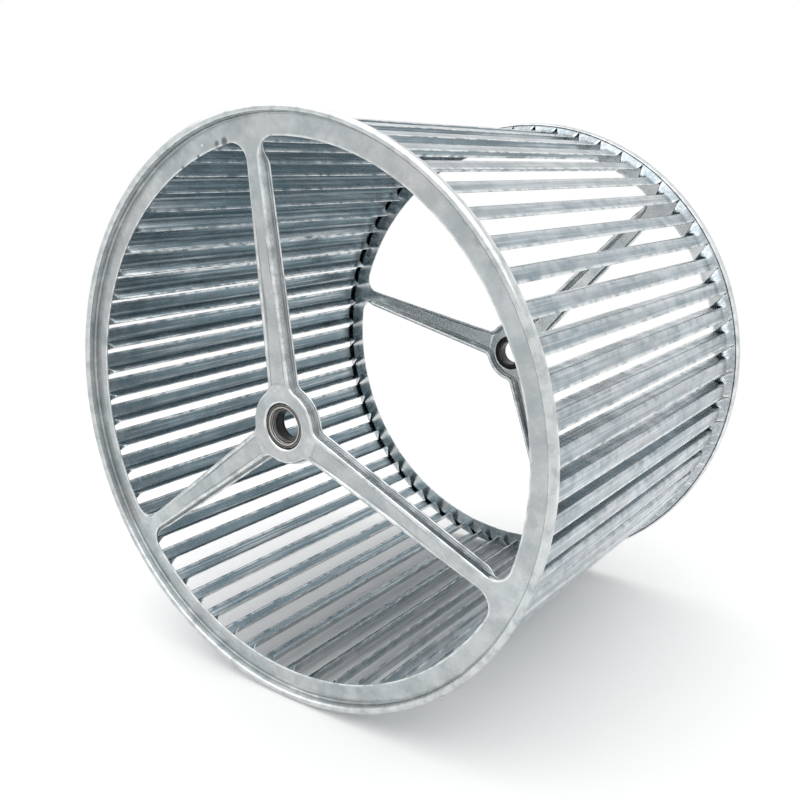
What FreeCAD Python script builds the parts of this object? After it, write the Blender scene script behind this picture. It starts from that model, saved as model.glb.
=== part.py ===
import FreeCAD, Part

import math
import os

import Sketcher
from FreeCAD import Placement, Rotation, Vector

# Blower wheel of an evaporative cooler: a cage of forward-curved blades between two pressed
# end plates, each a rolled ring with three hollow arms and an eye that holds a turned bush.
# The shaft axis is +Z and the wheel stands on its rear rim, with the origin on the axis there.
# In a plate's own frame its outer face is at height 0 and looks along +Z.

# Driving dimensions in millimetres and degrees
SIZES = [
    ("wheel_diameter", 400.0),
    ("plate_spacing", 320.0),
    ("plate_wall", 1.0),
    ("window_radius", 181.4),
    ("bead_radius", 2.5),
    ("bead_height", 4.5),
    ("rim_corner", 1.5),
    ("skirt_drop", 1.0),
    ("skirt_inset", 0.8),
    ("rear_plate_turn", 11.3),
    ("arm_count", 3.0),
    ("arm_hub_width", 18.6),
    ("arm_ring_width", 10.2),
    ("arm_depth", 8.0),
    ("arm_lip", 2.0),
    ("arm_ring_fillet", 12.0),
    ("arm_boss_fillet", 8.0),
    ("arm_runout", 16.0),
    ("boss_radius", 25.5),
    ("panel_margin", 2.4),
    ("panel_depth", 1.6),
    ("panel_reach", 142.0),
    ("eye_rounding", 1.5),
    ("bush_diameter", 31.0),
    ("bush_bore", 20.0),
    ("bush_length", 12.2),
    ("bush_setback", 1.2),
    ("bush_recess_diameter", 24.8),
    ("bush_recess_depth", 1.8),
    ("bush_chamfer", 0.8),
    ("bush_clearance", 0.05),
    ("strip_wall", 0.5),
    ("strip_clearance", 0.1),
    ("band_reach", 3.5),
    ("blade_count", 59.0),
    ("blade_phase", 130.2),
    ("blade_tip_radius", 194.0),
    ("blade_root_radius", 184.4),
    ("blade_face_width", 10.4),
    ("blade_lead", 3.97),
    ("blade_bend_radius", 3.0),
    ("blade_twist_length", 11.0),
]

ARC_FACETS = 2
OVERLAP = 1.0

doc = FreeCAD.newDocument("blower_wheel")
sheet = doc.addObject("Spreadsheet::Sheet", "Sizes")
for row, (alias, value) in enumerate(SIZES, start=1):
    sheet.set("A%d" % row, alias)
    sheet.set("B%d" % row, str(value))
    sheet.setAlias("B%d" % row, alias)
doc.recompute()


def size(alias):
    return float(sheet.get(alias))


def polar(radius, degrees, height=0.0):
    angle = math.radians(degrees)
    return Vector(radius * math.cos(angle), radius * math.sin(angle), height)


# Values that several pieces share
wheel_radius = size("wheel_diameter") / 2
wall = size("plate_wall")
bush_radius = size("bush_diameter") / 2
arm_pitch = 360.0 / size("arm_count")
rim_height = size("bead_height") + size("bead_radius")
skirt_radius = wheel_radius - size("skirt_inset")
band_radius = skirt_radius - wall - size("strip_clearance")
blade_pitch = 360.0 / size("blade_count")


def new_body(name):
    body = doc.addObject("PartDesign::Body", name)
    body.Label = name
    return body


def origin_plane(body, role):
    return next(item for item in body.Origin.OriginFeatures if item.Role == role)


def new_sketch(body, name, role, height="0"):
    sketch = body.newObject("Sketcher::SketchObject", name)
    sketch.AttachmentSupport = (origin_plane(body, role), "")
    sketch.MapMode = "FlatFace"
    sketch.setExpression("AttachmentOffset.Base.z", height)
    return sketch


def add_loop(sketch, pieces):
    """Draws one closed loop. A piece has two points for a line and three for an arc."""
    first = sketch.GeometryCount
    ends = []
    for points in pieces:
        if len(points) == 3:
            sketch.addGeometry(Part.Arc(*points), False)
            side = (points[1] - points[0]).cross(points[2] - points[0]).z
            ends.append((1, 2) if side > 0 else (2, 1))
        else:
            sketch.addGeometry(Part.LineSegment(*points), False)
            ends.append((1, 2))
    for number, (start, end) in enumerate(ends):
        following = (number + 1) % len(ends)
        sketch.addConstraint(Sketcher.Constraint(
            "Coincident", first + number, end, first + following, ends[following][0]))
    return first


def hold_radius(sketch, geometry, name, expression):
    """Binds the radius of an arc to the sheet."""
    radius = sketch.Geometry[geometry].Radius
    index = sketch.addConstraint(Sketcher.Constraint("Radius", geometry, radius))
    sketch.renameConstraint(index, name)
    sketch.setExpression("Constraints." + name, expression)


def revolve(body, sketch, name, kind="PartDesign::Revolution"):
    feature = body.newObject(kind, name)
    feature.Profile = sketch
    feature.ReferenceAxis = (origin_plane(body, "Z_Axis"), [""])
    feature.Angle = 360.0
    return feature


def pad(body, sketch, name, length):
    feature = body.newObject("PartDesign::Pad", name)
    feature.Profile = sketch
    feature.setExpression("Length", length)
    return feature


def pocket(body, sketch, name, length):
    feature = body.newObject("PartDesign::Pocket", name)
    feature.Profile = sketch
    feature.setExpression("Length", length)
    return feature


def arc_between(centre, radius, start, end):
    """Three points of the short arc from start to end about the centre."""
    middle = (start - centre).normalize() + (end - centre).normalize()
    return (start, centre + middle.normalize() * radius, end)


def arm_side():
    """Side of the arm above a window that is centred on +X: a point, its run and its inward normal."""
    along = polar(1.0, arm_pitch / 2)
    across = polar(1.0, arm_pitch / 2 - 90.0)
    at_boss = along * size("boss_radius") + across * (size("arm_hub_width") / 2)
    at_ring = along * size("window_radius") + across * (size("arm_ring_width") / 2)
    run = (at_ring - at_boss).normalize()
    return at_boss, run, Vector(run.y, -run.x, 0.0)


def fillet_centre(radius, distance):
    """Centre of a fillet that touches the arm's side, at a given distance from the axis."""
    point, run, inward = arm_side()
    base = point + inward * radius
    half = base.dot(run)
    return base + run * (math.sqrt(half * half - base.dot(base) + distance * distance) - half)


def window_loop(shrink):
    """Outline of one window between two arms, moved into the window by shrink."""
    inward = arm_side()[2]
    ring_fillet = size("arm_ring_fillet")
    boss_fillet = size("arm_boss_fillet")
    ring_centre = fillet_centre(ring_fillet, size("window_radius") - ring_fillet)
    boss_centre = fillet_centre(boss_fillet, size("boss_radius") + boss_fillet)
    ring_point = Vector(ring_centre).normalize() * (size("window_radius") - shrink)
    boss_point = Vector(boss_centre).normalize() * (size("boss_radius") + shrink)
    ring_side = ring_centre - inward * (ring_fillet - shrink)
    boss_side = boss_centre - inward * (boss_fillet - shrink)

    def mirrored(point):
        return Vector(point.x, -point.y, 0.0)

    upper = [
        arc_between(ring_centre, ring_fillet - shrink, ring_point, ring_side),
        (ring_side, boss_side),
        arc_between(boss_centre, boss_fillet - shrink, boss_side, boss_point),
    ]
    lower = [tuple(mirrored(point) for point in reversed(points)) for points in reversed(upper)]
    boss = (boss_point, Vector(size("boss_radius") + shrink, 0.0, 0.0), mirrored(boss_point))
    ring = (mirrored(ring_point), Vector(size("window_radius") - shrink, 0.0, 0.0), ring_point)
    turn = Rotation(Vector(0, 0, 1), 90.0 + arm_pitch / 2)
    return [tuple(turn.multVec(point) for point in points) for points in upper + [boss] + lower + [ring]]


def add_window(sketch, shrink, name, change):
    first = add_loop(sketch, window_loop(shrink))
    hold_radius(sketch, first, name + "_ring_fillet", "Sizes.arm_ring_fillet" + change)
    hold_radius(sketch, first + 2, name + "_boss_fillet", "Sizes.arm_boss_fillet" + change)


def panel_loop(grow):
    """Outline of the sunk panel on the arm along +Y, grown by grow."""
    start = size("boss_radius") + size("panel_margin") - grow
    end = size("panel_reach") + grow
    slope = (size("arm_hub_width") - size("arm_ring_width")) / 2
    slope /= size("window_radius") - size("boss_radius")
    edge = size("arm_hub_width") / 2 - size("panel_margin") + grow
    low = edge - slope * (start - size("boss_radius"))
    high = edge - slope * (end - size("boss_radius"))
    corners = [Vector(-low, start, 0), Vector(low, start, 0), Vector(high, end, 0), Vector(-high, end, 0)]
    return [(corners[number], corners[(number + 1) % 4]) for number in range(4)]


def plate_section():
    """Half section of the blank: eye collar, flat web, corner, bead and skirt, as one folded sheet."""
    bead = size("bead_radius")
    height = size("bead_height")
    corner = size("rim_corner")
    rounding = size("eye_rounding")
    collar_end = -(size("bush_setback") + size("bush_length"))
    bead_centre = Vector(wheel_radius - bead, 0.0, height)
    rise = wheel_radius - 2 * bead
    half_turn = math.sqrt(0.5)

    def point(radius, level):
        return Vector(radius, level, 0.0)

    web_end = rise - corner
    eye = bush_radius
    inner_rounding = rounding - wall
    return [
        (point(eye, collar_end), point(eye, -rounding)),
        (point(eye, -rounding), point(eye + rounding * (1 - half_turn), -rounding * (1 - half_turn)),
         point(eye + rounding, 0)),
        (point(eye + rounding, 0), point(web_end, 0)),
        (point(web_end, 0), point(web_end + corner * half_turn, corner * (1 - half_turn)), point(rise, corner)),
        (point(rise, corner), point(rise, height)),
        (point(rise, height), point(bead_centre.x, height + bead), point(wheel_radius, height)),
        (point(wheel_radius, height), point(skirt_radius, -size("skirt_drop"))),
        (point(skirt_radius, -size("skirt_drop")), point(skirt_radius - wall, -size("skirt_drop"))),
        (point(skirt_radius - wall, -size("skirt_drop")), point(wheel_radius - wall, height)),
        (point(wheel_radius - wall, height), point(bead_centre.x, height + bead - wall),
         point(rise + wall, height)),
        (point(rise + wall, height), point(rise + wall, corner)),
        (point(rise + wall, corner),
         point(web_end + (corner + wall) * half_turn, corner - (corner + wall) * half_turn),
         point(web_end, -wall)),
        (point(web_end, -wall), point(eye + wall + inner_rounding, -wall)),
        (point(eye + wall + inner_rounding, -wall),
         point(eye + wall + inner_rounding * (1 - half_turn), -wall - inner_rounding * (1 - half_turn)),
         point(eye + wall, -wall - inner_rounding)),
        (point(eye + wall, -wall - inner_rounding), point(eye + wall, collar_end)),
        (point(eye + wall, collar_end), point(eye, collar_end)),
    ]


def add_end_plate(name):
    body = new_body(name)

    blank_sketch = new_sketch(body, name + "_section", "XZ_Plane")
    add_loop(blank_sketch, plate_section())
    hold_radius(blank_sketch, 5, "bead", "Sizes.bead_radius")
    hold_radius(blank_sketch, 3, "corner", "Sizes.rim_corner")
    revolve(body, blank_sketch, name + "_blank")

    # Walls and lips that are folded back round each window
    wall_sketch = new_sketch(body, name + "_wall_outline", "XY_Plane", "-Sizes.arm_depth")
    add_window(wall_sketch, 0.0, "inner", "")
    add_window(wall_sketch, -wall, "outer", " + Sizes.plate_wall")
    walls = pad(body, wall_sketch, name + "_walls", "Sizes.arm_depth - Sizes.plate_wall / 2")

    lip_sketch = new_sketch(body, name + "_lip_outline", "XY_Plane", "-Sizes.arm_depth")
    add_window(lip_sketch, size("arm_lip"), "inner", " - Sizes.arm_lip")
    add_window(lip_sketch, -wall / 2, "outer", " + Sizes.plate_wall / 2")
    lips = pad(body, lip_sketch, name + "_lips", "Sizes.plate_wall")

    window_sketch = new_sketch(body, name + "_window_outline", "XY_Plane")
    add_window(window_sketch, 0.0, "window", "")
    window = pocket(body, window_sketch, name + "_window", "Sizes.arm_depth - Sizes.plate_wall")

    # Sunk panel on the face of each arm, pressed through to the hollow side
    boss_sketch = new_sketch(body, name + "_panel_back", "XY_Plane", "-Sizes.plate_wall - Sizes.panel_depth")
    add_loop(boss_sketch, panel_loop(wall / 2))
    panel_back = pad(body, boss_sketch, name + "_panel_floor", "Sizes.panel_depth + Sizes.plate_wall / 2")

    panel_sketch = new_sketch(body, name + "_panel_outline", "XY_Plane")
    add_loop(panel_sketch, panel_loop(0.0))
    panel = pocket(body, panel_sketch, name + "_panel", "Sizes.panel_depth")

    pattern = body.newObject("PartDesign::PolarPattern", name + "_arms")
    pattern.Originals = [walls, lips, window, panel_back, panel]
    pattern.Axis = (origin_plane(body, "Z_Axis"), [""])
    pattern.Angle = 360.0
    pattern.setExpression("Occurrences", "Sizes.arm_count")
    body.Tip = pattern

    # The walls run out towards the ring
    full = size("window_radius") - size("arm_runout")
    depth = size("arm_depth")
    flat = size("window_radius")
    far = flat + OVERLAP + wall
    low = -depth - OVERLAP
    trim_sketch = new_sketch(body, name + "_runout_section", "XZ_Plane")
    corners = [Vector(full, -depth, 0), Vector(flat, -wall, 0), Vector(far, -wall, 0),
               Vector(far, low, 0), Vector(full, low, 0)]
    add_loop(trim_sketch, [(corners[number], corners[(number + 1) % 5]) for number in range(5)])
    trim = revolve(body, trim_sketch, name + "_runout", "PartDesign::Groove")
    body.Tip = trim
    return body


def add_bush(name):
    body = new_body(name)
    outer = bush_radius - size("bush_clearance")
    bore = size("bush_bore") / 2
    recess = size("bush_recess_diameter") / 2
    chamfer = size("bush_chamfer")
    front = -size("bush_setback")
    floor = front - size("bush_recess_depth")
    back = front - size("bush_length")
    corners = [
        Vector(recess, front, 0),
        Vector(outer - chamfer, front, 0),
        Vector(outer, front - chamfer, 0),
        Vector(outer, back, 0),
        Vector(bore + chamfer, back, 0),
        Vector(bore, back + chamfer, 0),
        Vector(bore, floor - chamfer, 0),
        Vector(bore + chamfer, floor, 0),
        Vector(recess, floor, 0),
    ]
    sketch = new_sketch(body, name + "_section", "XZ_Plane")
    count = len(corners)
    add_loop(sketch, [(corners[number], corners[(number + 1) % count]) for number in range(count)])
    revolve(body, sketch, name + "_turned")
    return body


def blade_section():
    """Outer line of one blade: tip, flat face, bend and root, as points (tangential, radial)."""
    tip_radius = size("blade_tip_radius")
    face_turn = math.asin(size("blade_face_width") / 2 / tip_radius)
    tip = Vector(0.0, tip_radius, 0.0)
    corner = tip - Vector(math.cos(face_turn), math.sin(face_turn), 0) * size("blade_face_width")
    lead = math.radians(size("blade_lead"))
    root = Vector(-math.sin(lead), math.cos(lead), 0.0) * size("blade_root_radius")
    along_face = (corner - tip).normalize()
    along_root = (root - corner).normalize()
    turn = along_face.getAngle(along_root)
    setback = size("blade_bend_radius") * math.tan(turn / 2)
    start = corner - along_face * setback
    centre = start + Vector(-along_face.y, along_face.x, 0) * size("blade_bend_radius")
    points = [tip]
    for step in range(ARC_FACETS + 1):
        swing = Rotation(Vector(0, 0, 1), math.degrees(turn) * step / ARC_FACETS)
        points.append(centre + swing.multVec(start - centre))
    return points + [root]


def offset_line(points, distance):
    """The same line moved to its left-hand side, with mitred corners."""
    runs = [(after - before).normalize() for before, after in zip(points, points[1:])]
    lefts = [Vector(-run.y, run.x, 0) for run in runs]
    moved = [points[0] + lefts[0] * distance]
    for point, before, after in zip(points[1:], lefts, lefts[1:]):
        mitre = (before + after).normalize()
        moved.append(point + mitre * (distance / mitre.dot(before)))
    return moved + [points[-1] + lefts[-1] * distance]


def band_line(section, radius):
    """The points of a blade's section laid along the band, one pitch from its tip to the next."""
    lengths = [0.0]
    for before, after in zip(section, section[1:]):
        lengths.append(lengths[-1] + before.distanceToPoint(after))
    return [polar(radius, 90.0 + blade_pitch * length / lengths[-1]) for length in lengths]


def strip_faces():
    """Faces of one pitch of the strip, with its blade's tip on +Y."""
    outer = blade_section()
    inner = offset_line(outer, size("strip_wall"))
    band_outer = band_line(outer, band_radius)
    band_inner = band_line(outer, band_radius - size("strip_wall"))
    middle = rim_height + size("plate_spacing") / 2
    slit = size("plate_spacing") / 2
    band_end = slit + size("band_reach")
    full = slit - size("blade_twist_length")

    def at(point, level):
        return Vector(point.x, point.y, middle + level)

    def flat(*corners):
        return Part.Face(Part.makePolygon(list(corners) + [corners[0]]))

    def bent(first, second, third, fourth):
        return [flat(first, second, third), flat(first, third, fourth)]

    faces = []
    edges = list(zip(outer, band_outer)), list(zip(inner, band_inner))
    for line in edges:
        for (blade_a, band_a), (blade_b, band_b) in zip(line, line[1:]):
            faces.append(flat(at(blade_a, -full), at(blade_b, -full), at(blade_b, full), at(blade_a, full)))
            for side in (-1, 1):
                faces += bent(at(blade_a, side * full), at(blade_b, side * full),
                              at(band_b, side * slit), at(band_a, side * slit))
                faces.append(flat(at(band_a, side * slit), at(band_b, side * slit),
                                  at(band_b, side * band_end), at(band_a, side * band_end)))
    for number in (0, -1):
        faces.append(flat(at(outer[number], -full), at(inner[number], -full),
                          at(inner[number], full), at(outer[number], full)))
        for side in (-1, 1):
            faces += bent(at(outer[number], side * full), at(inner[number], side * full),
                          at(band_inner[number], side * slit), at(band_outer[number], side * slit))
    for number in range(len(outer) - 1):
        for side in (-1, 1):
            faces.append(flat(at(band_outer[number], side * band_end), at(band_outer[number + 1], side * band_end),
                              at(band_inner[number + 1], side * band_end), at(band_inner[number], side * band_end)))
    return faces


def add_blade_strip(name):
    """One lanced strip: its slits open into blades and its edges stay whole as two bands."""
    pitch_faces = Part.makeCompound(strip_faces())
    copies = []
    for number in range(int(size("blade_count"))):
        copy = pitch_faces.copy()
        copy.rotate(Vector(0, 0, 0), Vector(0, 0, 1), size("blade_phase") - 90.0 + number * blade_pitch)
        copies += copy.Faces
    shell = Part.Shell(copies)
    shell.sewShape()
    solid = Part.Solid(shell.Shells[0] if shell.ShapeType != "Shell" else shell)
    if solid.Volume < 0:
        solid.reverse()
    strip = doc.addObject("Part::Feature", name)
    strip.Label = name
    strip.Shape = solid
    return strip


def seat(body, angle, flipped):
    """Puts a plate or bush at the front end, or turns it over and puts it at the rear."""
    spin = Rotation(Vector(0, 0, 1), angle)
    if flipped:
        body.Placement = Placement(Vector(0, 0, 0), spin * Rotation(Vector(1, 0, 0), 180.0))
        body.setExpression("Placement.Base.z", "Sizes.bead_height + Sizes.bead_radius")
    else:
        body.Placement = Placement(Vector(0, 0, 0), spin)
        body.setExpression(
            "Placement.Base.z", "Sizes.bead_height + Sizes.bead_radius + Sizes.plate_spacing")


front_plate = add_end_plate("front_end_plate")
rear_plate = add_end_plate("rear_end_plate")
front_bush = add_bush("front_hub_bush")
rear_bush = add_bush("rear_hub_bush")
blade_strip = add_blade_strip("blade_strip")

seat(front_plate, 0.0, False)
seat(front_bush, 0.0, False)
seat(rear_plate, size("rear_plate_turn"), True)
seat(rear_bush, size("rear_plate_turn"), True)

doc.recompute()

nodes = [front_plate, rear_plate, front_bush, rear_bush, blade_strip]
for item in doc.Objects:
    if "Invalid" in item.State or "Error" in item.State:
        raise RuntimeError("%s failed: %s" % (item.Label, item.State))
for node in nodes:
    if node.Shape.isNull() or not node.Shape.isValid():
        raise RuntimeError("%s has no valid shape" % node.Label)

os.makedirs("parts", exist_ok=True)
for node in nodes:
    node.Shape.exportStep("parts/%s.step" % node.Label)
    print(node.Label, len(node.Shape.Solids), "solid", round(node.Shape.Volume, 1), "mm3")
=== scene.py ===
import math

import bpy
import numpy as np
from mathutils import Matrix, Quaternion, Vector
from mathutils.geometry import delaunay_2d_cdt


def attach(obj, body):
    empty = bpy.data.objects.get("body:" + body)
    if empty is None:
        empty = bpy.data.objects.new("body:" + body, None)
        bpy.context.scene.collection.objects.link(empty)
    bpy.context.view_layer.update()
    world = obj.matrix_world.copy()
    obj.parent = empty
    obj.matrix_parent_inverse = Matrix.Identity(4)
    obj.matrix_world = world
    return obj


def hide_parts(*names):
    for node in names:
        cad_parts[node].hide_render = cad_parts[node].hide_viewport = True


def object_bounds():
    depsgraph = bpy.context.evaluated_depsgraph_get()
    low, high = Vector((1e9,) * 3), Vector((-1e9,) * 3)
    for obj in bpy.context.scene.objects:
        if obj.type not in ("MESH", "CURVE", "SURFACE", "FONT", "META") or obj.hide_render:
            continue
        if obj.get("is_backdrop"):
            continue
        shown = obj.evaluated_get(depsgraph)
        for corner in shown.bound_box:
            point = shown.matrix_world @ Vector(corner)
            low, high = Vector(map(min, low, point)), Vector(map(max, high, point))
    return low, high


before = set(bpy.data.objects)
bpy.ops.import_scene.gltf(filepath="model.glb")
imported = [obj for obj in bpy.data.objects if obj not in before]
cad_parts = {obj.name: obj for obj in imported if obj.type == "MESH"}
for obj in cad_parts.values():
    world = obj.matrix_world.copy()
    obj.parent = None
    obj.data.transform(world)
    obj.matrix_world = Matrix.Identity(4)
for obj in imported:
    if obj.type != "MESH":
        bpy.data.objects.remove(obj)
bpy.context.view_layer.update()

# Camera: measured from the rims, arms and hubs of the photograph, in metres and degrees
CAMERA_PLACE = Vector((0.40894, 0.12133, 0.74589))
CAMERA_AIM = Vector((-0.01534, -0.04412, 0.19192))
CAMERA_ROLL = 111.680
CAMERA_LENS = 40.616
CAMERA_SENSOR = 36.0
CAMERA_SHIFT = (0.0118, 0.0525)

# Floor: the plane that both rims lie on in the photograph, in metres and degrees. Where it is seen
# or mirrored, it fades to white between the two distances of FLOOR_FADE from the origin
FLOOR_TURN = -95.93
FLOOR_SIZE = 14.0
FLOOR_GAP = 0.0005
FLOOR_COLOUR = 0.78
FLOOR_SEEN = 1.12
FLOOR_FADE = (0.26, 1.05)

# Light: a lamp as (name, place, size, power), and the room's soft light
LAMPS = [
    ("top_lamp", (-0.25, 1.3, -0.15), (3.4, 3.0), 30.0),
]
ROOM_LIGHT = 0.60

# Wheel, in millimetres and degrees, as in the part's source
MM = 0.001
WHEEL_RADIUS = 200.0
PLATE_SPACING = 320.0
RIM_HEIGHT = 7.0
REAR_TURN = 11.3
WALL = 1.0

# Rim of an end plate. The skirt's first point lies SKIRT_START inwards and down from the bead
WINDOW_RADIUS = 181.4
WEB_RADIUS = 193.5
CORNER = 1.5
BEAD = 2.5
BEAD_HEIGHT = 4.5
SKIRT_START = (0.06, 0.6)
SKIRT_INSET = 0.8
SKIRT_DROP = 1.0

# Arms and boss
ARM_COUNT = 3
ARM_PITCH = 120.0
FIRST_ARM = 90.0
HUB_HALF = 9.3
RING_HALF = 5.1
BOSS_RADIUS = 25.5
RING_FILLET = 12.0
BOSS_FILLET = 8.0
ARM_DEPTH = 8.0
ARM_LIP = 2.0
ARM_ROUNDING = 1.4
LIP_ROUNDING = 0.8
FACE_MARGIN = 1.6

# Cut edge of the ring, into which an arm's wall runs out
CUT_ROUNDING = 0.25
CUT_MARGIN = 0.02
RUNOUT = 16.0
RUNOUT_GAP = 0.4

# Sunk panel on each arm
PANEL_START = 27.0
PANEL_END = 144.0
PANEL_DEPTH = 2.4
PANEL_EDGE = 2.1
PANEL_SLOPE = 1.3
PANEL_HUB_SLOPE = 1.6
PANEL_HUB_SHARE = 0.15
PANEL_RUN = 60.0
PANEL_FADE = 1.1

# Dents in the front plate: (x, y, radius, depth). What lies deeper than DENT_REACH isn't pressed
DENT_REACH = 3.0
DENTS = [
    (-22.5, 182.6, 2.6, 0.8),
    (-28.5, 181.8, 2.4, 0.6),
    (-47.5, 175.6, 1.8, 0.45),
    (-63.5, 170.5, 1.8, 0.4),
]

# Eye and bush
EYE_RADIUS = 15.5
EYE_ROUNDING = 1.5
COLLAR_DEPTH = 13.4
BUSH_RADIUS = 15.45
BUSH_BORE = 10.0
BUSH_SETBACK = 1.2
BUSH_LENGTH = 12.2
BUSH_CHAMFER = 0.8
BUSH_ROUNDING = 0.2
LOOP_MARGIN = 0.15
RECESS_RADIUS = 12.4
RECESS_DEPTH = 1.8

# Blade strip
BLADES = 59
BLADE_PHASE = 130.2
TIP_RADIUS = 194.0
ROOT_RADIUS = 184.4
FACE_WIDTH = 10.4
LEAD = 3.97
BEND_RADIUS = 3.0
STRIP_WALL = 0.5
BAND_RADIUS = 198.1
BAND_REACH = 3.5
TWIST_LENGTH = 11.0

# How finely the meshes are divided. HUB_REACHES, ARM_REACHES and EDGE_OFFSETS are (start, end, step).
# CUT_POINTS gives the cut edge's section as many points as the arm's
RIM_STEPS = 360
EYE_STEPS = 96
RING_POINTS = 56
RING_FILLET_POINTS = 22
ARM_SIDE_POINTS = 56
BOSS_FILLET_POINTS = 12
BOSS_POINTS = 16
CUT_POINTS = 17
CORNER_POINTS = 5
HUB_REACHES = (26.6, 33.0, 0.7)
ARM_REACHES = (33.5, PANEL_END + 3.0, 1.6)
EDGE_OFFSETS = (PANEL_EDGE - 0.1, PANEL_EDGE + PANEL_SLOPE + 0.2, 0.2)
MIDDLE_POINTS = 5
DENT_POINTS = 9
DENT_SPREAD = 2.0
DENT_CLEARANCE = 0.3
SLOPE_STEP = 0.02
FACE_SHARES = (0.0, 0.07, 0.3, 0.65)
BEND_POINTS = 8
ROOT_SHARES = (0.33, 0.66, 0.93, 1.0)
STRAIGHT_ROWS = 7
TWIST_ROWS = 12
BAND_SHARES = (0.3, 0.65, 1.0)

# Points nearer than SAME_POINT become one, and no length that is divided by is less than TINY
SAME_POINT = 1e-6
TINY = 1e-12

# Wear and painted highlight for each unit of an edge's outward bend, and painted shade for each unit
# of its inward bend, in millimetres. Points that agree to MEETING_DIGITS decimals lie on a sharp edge
# where the mean of their normals is shorter than MEETING
BEND_SHARE = 1.1
CREASE_SHARE = 1.5
SHORTEST_EDGE = 0.01
MEETING_DIGITS = 3
MEETING = 0.9

# Galvanised sheet: colours
PLATE_DEEP = (0.41, 0.45, 0.46)
PLATE_PALE = (0.54, 0.575, 0.585)
PLATE_TINT = (0.50, 0.495, 0.50)
# the rear plate's colours lightened, as painted light
REAR_PLATE_PAINTED_LIGHT = 1.2
STRIP_DEEP = (0.25, 0.32, 0.36)
STRIP_PALE = (0.44, 0.51, 0.55)
STRIP_TINT = (0.40, 0.405, 0.415)
# painted shade on the strip's faces inside the wheel
INSIDE_SHADE_COLOUR = (0.13, 0.20, 0.24)
STREAK_COLOUR = (0.20, 0.26, 0.28)
# pale colour of worn edges and streaks, also painted highlight on bent edges and a painted glint
WORN_AND_HIGHLIGHT_COLOUR = (0.93, 0.945, 0.945)
STAIN_COLOUR = (0.30, 0.32, 0.32)
# painted shade, laid into the creases and the dents
CREASE_AND_DENT_SHADE = (0.07, 0.075, 0.08)

# Galvanised sheet: each noise as (scale for a metre, detail, roughness), and the range of it over
# which its effect is eased. The grain marks where it is low, and the others where they reach the
# range's second number
CLOUDS = (48.0, 3.0, 0.55)
CLOUD_RANGE = (0.34, 0.66)
PATCHES = (15.0, 2.0, 0.55)
PATCH_RANGE = (0.36, 0.64)
GRAIN = (1100.0, 2.0, 0.6)
GRAIN_RANGE = (0.35, 0.65)
STREAKS = (1.0, 4.0, 0.65)
DARK_STREAK_RANGE = (0.50, 0.70)
PALE_STREAK_RANGE = (0.50, 0.32)
BLOTS = (30.0, 6.0, 0.72)
BLOT_RANGE = (0.60, 0.74)
WEAR_BREAKS = (120.0, 4.0, 0.55)
WEAR_RANGE = (0.30, 0.62)
CREASE_BREAKS = (70.0, 3.0, 0.55)
CREASE_RANGE = (0.20, 0.60)
WAVES = (38.0, 1.0, 0.55)

# Galvanised sheet: a face counts as inside the wheel by how far it looks outwards, which is its
# normal's outward part times its distance from the axis in metres. Faces inside get painted shade
AXIS_RANGE = (-0.08, 0.04)

# Galvanised sheet: how strongly each shows, in the colour, in the roughness and as bump
PATCH_SHARE = 0.5
DARK_STREAK_SHARE = 0.55
PALE_STREAK_SHARE = 0.42
GRAIN_SHARE = 0.12
BLOT_SHARE = 0.22
# painted shade in the creases
CREASE_SHADE_SHARE = 0.42
# wear and painted highlight on bent edges
WEAR_AND_HIGHLIGHT_SHARE = 0.8
SHEET_ROUGHNESS = (0.27, 0.20)
STREAK_ROUGHNESS_RANGE = (0.3, 0.7)
STREAK_ROUGHNESS = (-0.05, 0.06)
BLOT_ROUGHNESS = 0.12
WEAR_POLISH = 0.10
WAVE_DEPTH = 0.0011
STREAK_DEPTH = 0.0003
STREAK_BUMP = 0.6
GRAIN_DEPTH = 0.00004
GRAIN_BUMP = 0.5

# Streaks and waviness of the plates and of the strip, whose streaks run along its blades
PLATE_STREAKS = (90.0, 90.0, 90.0)
PLATE_STREAKING = 0.3
PLATE_WAVINESS = 0.2
STRIP_STREAKS = (520.0, 520.0, 7.0)
STRIP_STREAKING = 0.9
STRIP_WAVINESS = 0.6
# how much painted shade the strip's faces inside the wheel take
STRIP_INSIDE_SHADE = 0.85

# Single marks on the front plate: (x, y, z, radius, strength, colour), in millimetres. The dark marks
# at the dents are painted shade, the small bright one a painted glint, and the last three stains. A
# mark fades between the two shares of its radius in MARK_FADE, with an edge uneven by MARK_UNEVEN
# metres
MARK_EDGES = (900.0, 3.0, 0.55)
MARK_UNEVEN = 0.0012
MARK_FADE = (0.6, 1.2)
PLATE_MARKS = [
    (-22.5, 182.0, 326.5, 3.2, 0.8, CREASE_AND_DENT_SHADE),
    (-29.5, 181.4, 326.5, 2.2, 0.7, CREASE_AND_DENT_SHADE),
    (-42.5, 182.0, 327.0, 1.1, 0.95, WORN_AND_HIGHLIGHT_COLOUR),
    (-47.5, 175.6, 326.5, 1.6, 0.8, CREASE_AND_DENT_SHADE),
    (-63.5, 170.5, 326.5, 1.6, 0.8, CREASE_AND_DENT_SHADE),
    (151.0, 121.0, 327.5, 3.0, 0.55, STAIN_COLOUR),
    (158.0, 111.0, 327.5, 4.0, 0.60, STAIN_COLOUR),
    (166.0, 99.0, 327.5, 3.5, 0.55, STAIN_COLOUR),
]

# Bush: colours, and rings of tone as (radius in millimetres, colour) from the bore outwards; the
# near-black bore, recess floor and outer chamfer are painted shade, and the pale ring at the recess's
# edge a painted highlight. What is nearer than BUSH_INNER_END metres to the wheel's middle is
# blackened as painted shade
# painted shade in the bore
BORE_SHADE = (0.020, 0.020, 0.021)
BUSH_BRIGHT = (0.62, 0.61, 0.60)
GREASE_COLOUR = (0.04, 0.037, 0.035)
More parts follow.
